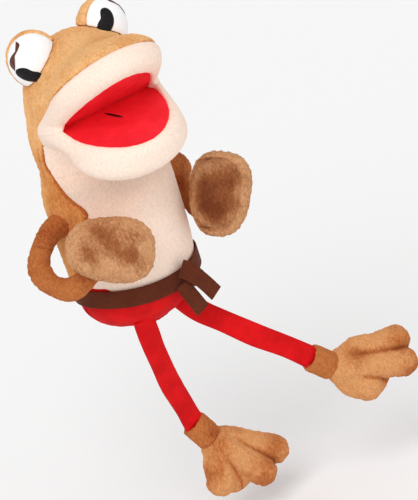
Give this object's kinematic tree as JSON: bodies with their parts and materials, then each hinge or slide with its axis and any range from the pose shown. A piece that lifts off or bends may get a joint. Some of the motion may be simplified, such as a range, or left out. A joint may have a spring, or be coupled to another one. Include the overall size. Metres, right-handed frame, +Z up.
{
  "type": "hand puppet",
  "caption": "Plush frog hand puppet with an opening mouth, mitten hands, cloth belt and long flat legs with webbed feet; hand goes in from below.",
  "frame": {"origin": "centre of the hand opening's outer rim, at the lower back of the trousers", "axes": "+Z up through the body towards the head, -Y towards the face, +X towards the puppet's left hand"},
  "size_m": [0.3815, 0.2194, 0.6387],
  "materials": {
    "tan_plush": "short-pile plush, tan brown, brushed darker where the pile is parted",
    "cream_plush": "smooth short-pile plush, cream",
    "white_plush": "smooth short-pile plush, white",
    "red_cloth": "short velour cloth, red",
    "mouth_cloth": "smooth felted cloth, bright red",
    "belt_webbing": "twill webbing, dark brown",
    "embroidery": "satin stitch thread, black",
    "cotton_lining": "plain woven lining cloth",
    "stuffing": "loose polyester fibre",
    "mouth_board": "flexible foam-faced board"
  },
  "bodies": {
    "torso": {"body_front_panel": "cream_plush", "body_back_right": "tan_plush", "body_back_left": "tan_plush", "sleeve_lining": "cotton_lining", "trousers_front": "red_cloth", "trousers_back": "red_cloth", "hand_opening_hem": "red_cloth", "belt_band": "belt_webbing", "belt_crossover": "belt_webbing"},
    "tail_upper": {"belt_tail_upper": "belt_webbing"},
    "tail_lower": {"belt_tail_lower": "belt_webbing"},
    "neck": {"neck_front_panel": "cream_plush", "neck_back_panel": "tan_plush"},
    "skull": {"head_side_right": "tan_plush", "head_side_left": "tan_plush", "head_top_panel": "tan_plush", "upper_lip": "cream_plush", "upper_mouth_lining": "mouth_cloth", "upper_mouth_board": "mouth_board", "finger_pocket": "cotton_lining", "head_stuffing": "stuffing", "eye_socket_right": "tan_plush", "eye_socket_left": "tan_plush", "eye_white_right": "white_plush", "eye_white_left": "white_plush", "pupil_right": "embroidery", "pupil_left": "embroidery", "brow_stitch_right": "embroidery", "brow_stitch_left": "embroidery"},
    "jaw": {"chin_panel": "cream_plush", "chin_stuffing": "stuffing", "lower_mouth_lining": "mouth_cloth", "lower_mouth_board": "mouth_board", "thumb_pocket": "cotton_lining", "mouth_stitch": "embroidery"},
    "upper_arm_right": {"upper_arm_right": "tan_plush"},
    "forearm_right": {"forearm_right": "tan_plush"},
    "hand_right": {"hand_palm_right": "tan_plush", "hand_back_right": "tan_plush", "hand_stuffing_right": "stuffing"},
    "thigh_right": {"thigh_right": "red_cloth"},
    "shank_right": {"shank_right": "red_cloth"},
    "foot_right": {"ankle_cuff_right": "tan_plush", "foot_upper_right": "tan_plush", "foot_sole_right": "tan_plush", "foot_stuffing_right": "stuffing"},
    "upper_arm_left": {"upper_arm_left": "tan_plush"},
    "forearm_left": {"forearm_left": "tan_plush"},
    "hand_left": {"hand_palm_left": "tan_plush", "hand_back_left": "tan_plush", "hand_stuffing_left": "stuffing"},
    "thigh_left": {"thigh_left": "red_cloth"},
    "shank_left": {"shank_left": "red_cloth"},
    "foot_left": {"ankle_cuff_left": "tan_plush", "foot_upper_left": "tan_plush", "foot_sole_left": "tan_plush", "foot_stuffing_left": "stuffing"}
  },
  "joints": [
    {"name": "head_turn", "type": "hinge", "parent": "torso", "child": "neck", "pos_m": [0, -0.016, 0.176], "axis": [0, 0, 1], "range_deg": [-30, 30]},
    {"name": "head_nod", "type": "hinge", "parent": "neck", "child": "skull", "pos_m": [0, -0.016, 0.213], "axis": [1, 0, 0], "range_deg": [-25, 10]},
    {"name": "mouth", "type": "hinge", "parent": "skull", "child": "jaw", "pos_m": [0, -0.08, 0.256], "axis": [1, 0, 0], "range_deg": [-42, 4]},
    {"name": "shoulder_right", "type": "hinge", "parent": "torso", "child": "upper_arm_right", "pos_m": [-0.083, -0.026, 0.133], "axis": [0, 0, 1], "range_deg": [-70, 0]},
    {"name": "elbow_right", "type": "hinge", "parent": "upper_arm_right", "child": "forearm_right", "pos_m": [-0.115, -0.038, 0.098], "axis": [0, 0, 1], "range_deg": [-60, 5]},
    {"name": "wrist_right", "type": "hinge", "parent": "forearm_right", "child": "hand_right", "pos_m": [-0.091, -0.079, 0.093], "axis": [0, 0, 1], "range_deg": [-35, 5]},
    {"name": "shoulder_left", "type": "hinge", "parent": "torso", "child": "upper_arm_left", "pos_m": [0.087, -0.01, 0.133], "axis": [0, 0, 1], "range_deg": [0, 15]},
    {"name": "elbow_left", "type": "hinge", "parent": "upper_arm_left", "child": "forearm_left", "pos_m": [0.093, 0.022, 0.097], "axis": [0, 0, 1], "range_deg": [0, 40]},
    {"name": "wrist_left", "type": "hinge", "parent": "forearm_left", "child": "hand_left", "pos_m": [0.088, -0.051, 0.083], "axis": [0, 0, 1], "range_deg": [-5, 30]},
    {"name": "hip_right", "type": "hinge", "parent": "torso", "child": "thigh_right", "pos_m": [-0.021, -0.046, -0.029], "axis": [0.9649, 0, 0.2625], "range_deg": [-65, 20]},
    {"name": "knee_right", "type": "hinge", "parent": "thigh_right", "child": "shank_right", "pos_m": [-0.0025, -0.0235, -0.097], "axis": [0.9649, 0, 0.2625], "range_deg": [-30, 80]},
    {"name": "ankle_right", "type": "hinge", "parent": "shank_right", "child": "foot_right", "pos_m": [0.016, -0.001, -0.165], "axis": [0.8453, 0.0793, 0.5283], "range_deg": [-25, 30]},
    {"name": "hip_left", "type": "hinge", "parent": "torso", "child": "thigh_left", "pos_m": [0.042, -0.043, -0.022], "axis": [0.7071, 0, 0.7071], "range_deg": [-65, 20]},
    {"name": "knee_left", "type": "hinge", "parent": "thigh_left", "child": "shank_left", "pos_m": [0.092, -0.0615, -0.072], "axis": [0.7071, 0, 0.7071], "range_deg": [-30, 80]},
    {"name": "ankle_left", "type": "hinge", "parent": "shank_left", "child": "foot_left", "pos_m": [0.142, -0.08, -0.122], "axis": [0.3327, 0.1399, 0.9326], "range_deg": [-25, 30]},
    {"name": "belt_tail_lower_swing", "type": "hinge", "parent": "torso", "child": "tail_lower", "pos_m": [0.027, -0.079, 0.02], "axis": [-0.8454, -0.4476, -0.2916], "range_deg": [0, 50]},
    {"name": "belt_tail_upper_swing", "type": "hinge", "parent": "torso", "child": "tail_upper", "pos_m": [0.0475, -0.075, 0.02], "axis": [-0.7174, -0.5931, -0.3655], "range_deg": [0, 50]}
  ]
}
